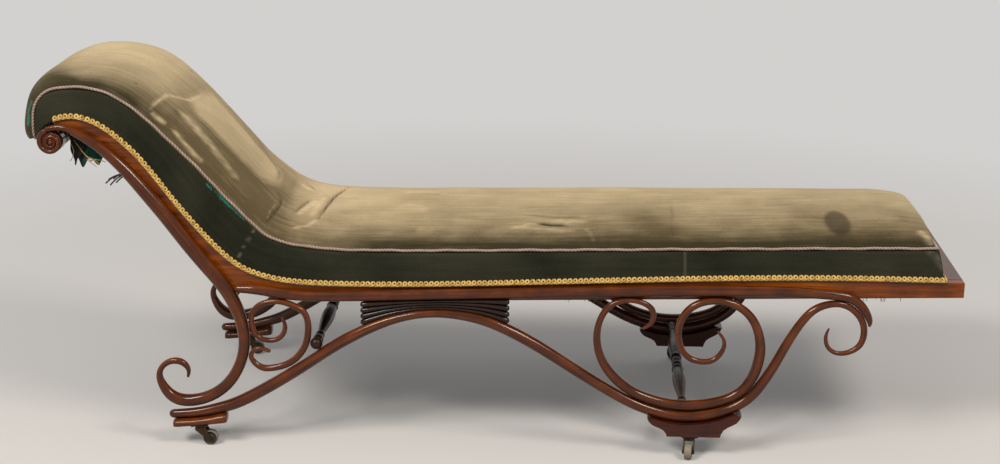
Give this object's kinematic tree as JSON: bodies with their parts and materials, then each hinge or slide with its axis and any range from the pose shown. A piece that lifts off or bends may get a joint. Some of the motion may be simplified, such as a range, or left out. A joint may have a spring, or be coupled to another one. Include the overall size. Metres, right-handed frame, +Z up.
{
  "type": "fainting couch",
  "caption": "Upholstered fainting couch with a rolled head end on a bentwood frame of open scrolls, standing on small swivel casters.",
  "frame": {"origin": "On the floor, midway along the couch and midway between the two side frames.", "axes": "+X towards the foot end, +Y away from the viewer of the picture, +Z up."},
  "size_m": [1.8984, 0.6193, 0.7747],
  "materials": {
    "polished_bentwood": "gloss varnish",
    "dark_turned_wood": "gloss varnish",
    "hidden_rail_wood": "sawn",
    "velvet_top": "worn pile",
    "band_velvet": "pile",
    "piping_cord": "woven",
    "gimp_braid": "corded",
    "webbing": "woven",
    "lining_cloth": "woven",
    "caster_bronze": "aged",
    "caster_wheel": "worn"
  },
  "bodies": {
    "frame": {"back_leg_near": "polished_bentwood", "back_leg_far": "polished_bentwood", "seat_rod_near": "polished_bentwood", "seat_rod_far": "polished_bentwood", "bow_near": "polished_bentwood", "bow_far": "polished_bentwood", "head_scroll_near": "polished_bentwood", "head_scroll_far": "polished_bentwood", "foot_scroll_near": "polished_bentwood", "foot_scroll_far": "polished_bentwood", "volute_near": "polished_bentwood", "volute_far": "polished_bentwood", "side_rail_near": "polished_bentwood", "side_rail_far": "polished_bentwood", "fan_near": "dark_turned_wood", "fan_far": "dark_turned_wood", "head_pad_near": "dark_turned_wood", "head_pad_far": "dark_turned_wood", "foot_block_near": "dark_turned_wood", "foot_block_far": "dark_turned_wood", "side_band_near": "band_velvet", "side_band_far": "band_velvet", "piping_near": "piping_cord", "piping_far": "piping_cord", "braid_near": "gimp_braid", "braid_far": "gimp_braid", "foot_rail": "polished_bentwood", "head_rail": "hidden_rail_wood", "bend_rail": "hidden_rail_wood", "seat_cross_rails": "hidden_rail_wood", "head_stretcher": "dark_turned_wood", "foot_stretcher": "dark_turned_wood", "seat_pad": "velvet_top", "foot_band": "band_velvet", "foot_piping": "piping_cord", "foot_braid": "gimp_braid", "webbing": "webbing", "dust_cloth": "lining_cloth", "back_lining": "lining_cloth", "caster_screws": "caster_bronze", "plate_head_near": "caster_bronze", "plate_head_far": "caster_bronze", "plate_foot_near": "caster_bronze", "plate_foot_far": "caster_bronze"},
    "swivel_head_near": {"horn_head_near": "caster_bronze", "axle_head_near": "caster_bronze"},
    "roller_head_near": {"wheel_head_near": "caster_wheel"},
    "swivel_head_far": {"horn_head_far": "caster_bronze", "axle_head_far": "caster_bronze"},
    "roller_head_far": {"wheel_head_far": "caster_wheel"},
    "swivel_foot_near": {"horn_foot_near": "caster_bronze", "axle_foot_near": "caster_bronze"},
    "roller_foot_near": {"wheel_foot_near": "caster_wheel"},
    "swivel_foot_far": {"horn_foot_far": "caster_bronze", "axle_foot_far": "caster_bronze"},
    "roller_foot_far": {"wheel_foot_far": "caster_wheel"}
  },
  "joints": [
    {"name": "swivel_head_near", "type": "hinge", "parent": "frame", "child": "swivel_head_near", "pos_m": [-0.6114, -0.272, 0.04], "axis": [0, 0, 1], "continuous": true},
    {"name": "roll_head_near", "type": "hinge", "parent": "swivel_head_near", "child": "roller_head_near", "pos_m": [-0.5894, -0.272, 0.016], "axis": [0, 1, 0], "continuous": true},
    {"name": "swivel_head_far", "type": "hinge", "parent": "frame", "child": "swivel_head_far", "pos_m": [-0.6114, 0.272, 0.04], "axis": [0, 0, 1], "continuous": true},
    {"name": "roll_head_far", "type": "hinge", "parent": "swivel_head_far", "child": "roller_head_far", "pos_m": [-0.58961, 0.27506, 0.016], "axis": [-0.1392, 0.9903, 0], "continuous": true},
    {"name": "swivel_foot_near", "type": "hinge", "parent": "frame", "child": "swivel_foot_near", "pos_m": [0.40944, -0.272, 0.04], "axis": [0, 0, 1], "continuous": true},
    {"name": "roll_foot_near", "type": "hinge", "parent": "swivel_foot_near", "child": "roller_foot_near", "pos_m": [0.40638, -0.29379, 0.016], "axis": [0.9903, -0.1392, 0], "continuous": true},
    {"name": "swivel_foot_far", "type": "hinge", "parent": "frame", "child": "swivel_foot_far", "pos_m": [0.40944, 0.272, 0.04], "axis": [0, 0, 1], "continuous": true},
    {"name": "roll_foot_far", "type": "hinge", "parent": "swivel_foot_far", "child": "roller_foot_far", "pos_m": [0.4012, 0.2924, 0.016], "axis": [-0.9272, -0.3746, 0], "continuous": true}
  ]
}
